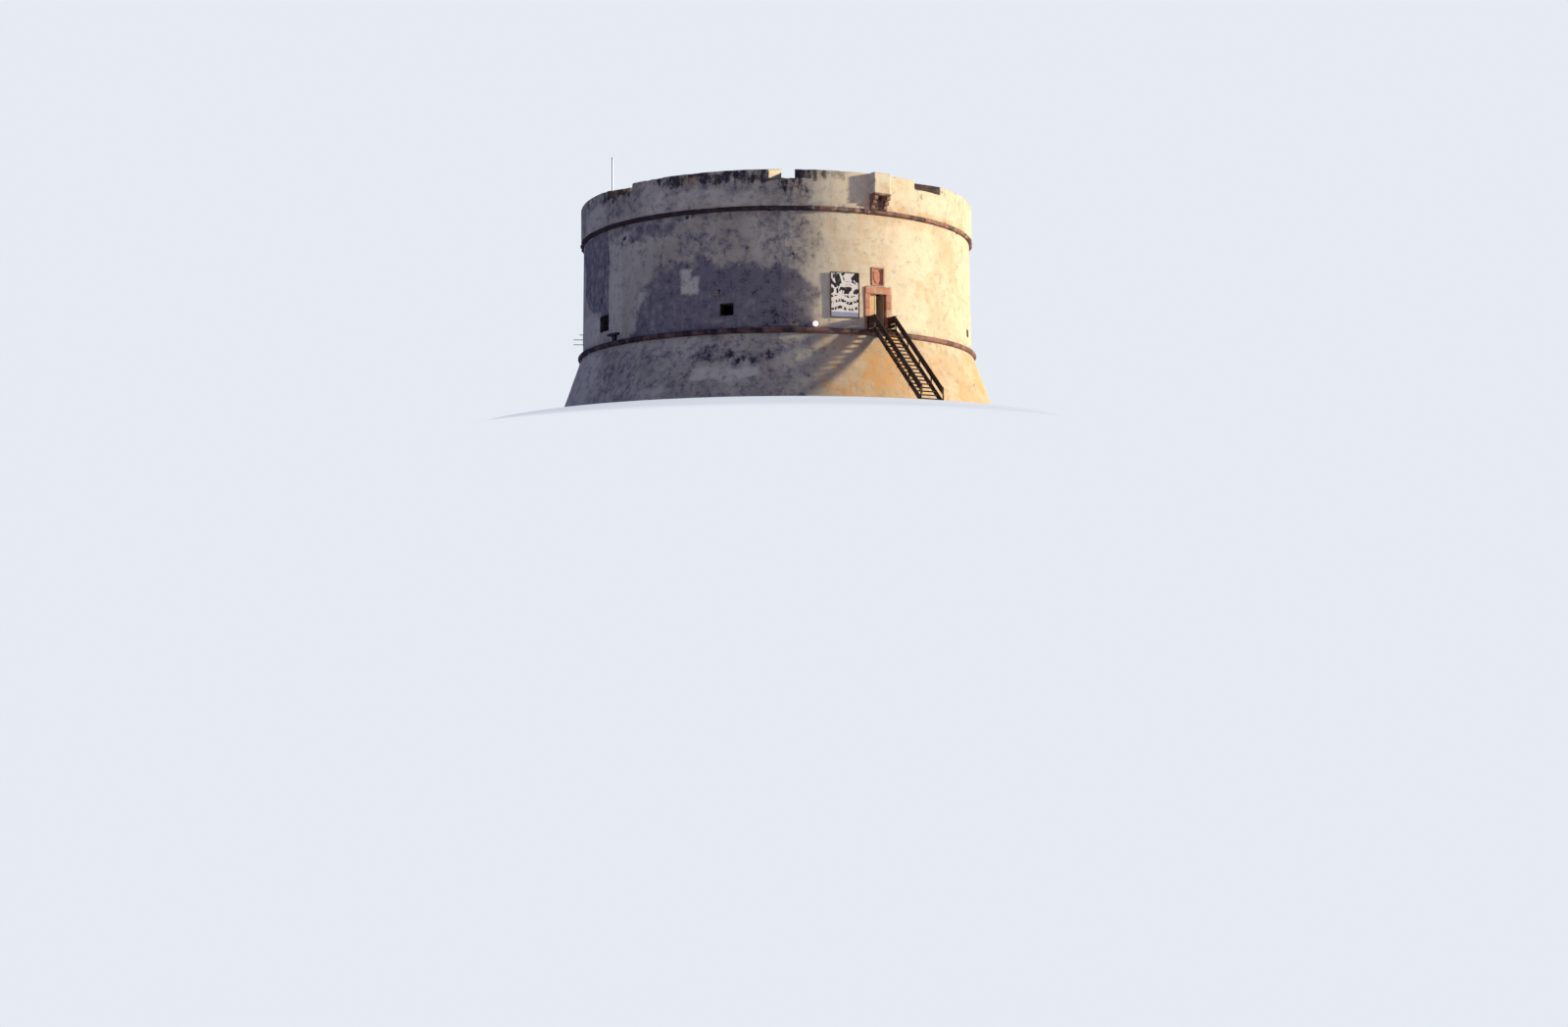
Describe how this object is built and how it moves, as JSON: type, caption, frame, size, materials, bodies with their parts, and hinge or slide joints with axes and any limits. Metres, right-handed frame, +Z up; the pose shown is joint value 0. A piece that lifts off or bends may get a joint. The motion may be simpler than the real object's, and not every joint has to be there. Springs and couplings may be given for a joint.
{
  "type": "martello tower",
  "caption": "Round coastal watch tower with a battered base, plastered drum, crenellated gun terrace, raised double door and outside timber stair.",
  "frame": {"origin": "centre of the tower's foot at ground level", "axes": "+Z up the tower's axis; -Y out through the doorway and down the stair; +X to the right of someone facing the doorway"},
  "size_m": [25.72, 29.5465, 15.8153],
  "materials": {
    "base_plaster": "weathered lime plaster",
    "drum_plaster": "weathered lime plaster",
    "parapet_plaster": "weathered lime plaster with lichen",
    "red_stone": "cut red volcanic stone, worn",
    "rubble_fill": "rubble and mortar",
    "paving_stone": "worn stone slabs",
    "vault_plaster": "limewashed stone",
    "door_timber": "pale painted boards",
    "tread_timber": "weathered boards",
    "dark_timber": "dark weathered timber",
    "wrought_iron": "rusted dark iron",
    "poster_board": "worn printed sheet on a board",
    "lamp_glass": "opal glass on a white body",
    "grey_metal": "weathered grey paint",
    "dark_metal": "weathered black paint",
    "white_paint": "white paint"
  },
  "bodies": {
    "tower": {"scarp_base": "base_plaster", "lower_cordon": "red_stone", "wall_left": "drum_plaster", "wall_front": "drum_plaster", "wall_door_left": "drum_plaster", "wall_door_right": "drum_plaster", "wall_over_door": "drum_plaster", "wall_right": "drum_plaster", "wall_side": "drum_plaster", "wall_far_right": "drum_plaster", "wall_back": "drum_plaster", "wall_back_left": "drum_plaster", "window_bays": "drum_plaster", "upper_cordon": "red_stone", "parapet": "parapet_plaster", "terrace_fill": "rubble_fill", "terrace_paving": "paving_stone", "room_vault": "vault_plaster", "room_floor": "paving_stone", "door_sill": "red_stone", "door_jambs": "red_stone", "door_lintel": "red_stone", "stone_plaque": "red_stone", "door_pins": "wrought_iron", "machicolation_front": "parapet_plaster", "machicolation_cheeks": "parapet_plaster", "machicolation_lintel": "red_stone", "machicolation_corbels": "red_stone", "stair_stringers": "dark_timber", "stair_treads": "tread_timber", "landing_deck": "tread_timber", "handrails": "dark_timber", "stair_posts": "dark_timber", "poster_panel": "poster_board", "wall_lamp": "lamp_glass", "junction_box": "grey_metal", "floodlight": "dark_metal", "line_bracket": "wrought_iron", "flagpole": "white_paint"},
    "door_left": {"door_leaf_left": "door_timber", "door_straps_left": "wrought_iron"},
    "door_right": {"door_leaf_right": "door_timber", "door_straps_right": "wrought_iron"}
  },
  "joints": [
    {"name": "left_leaf_hinge", "type": "hinge", "parent": "tower", "child": "door_left", "pos_m": [-0.548, -11.012, 4.84], "axis": [0, 0, 1], "range_deg": [0, 85]},
    {"name": "right_leaf_hinge", "type": "hinge", "parent": "tower", "child": "door_right", "pos_m": [0.548, -11.012, 4.84], "axis": [0, 0, 1], "range_deg": [-3, 82]}
  ]
}
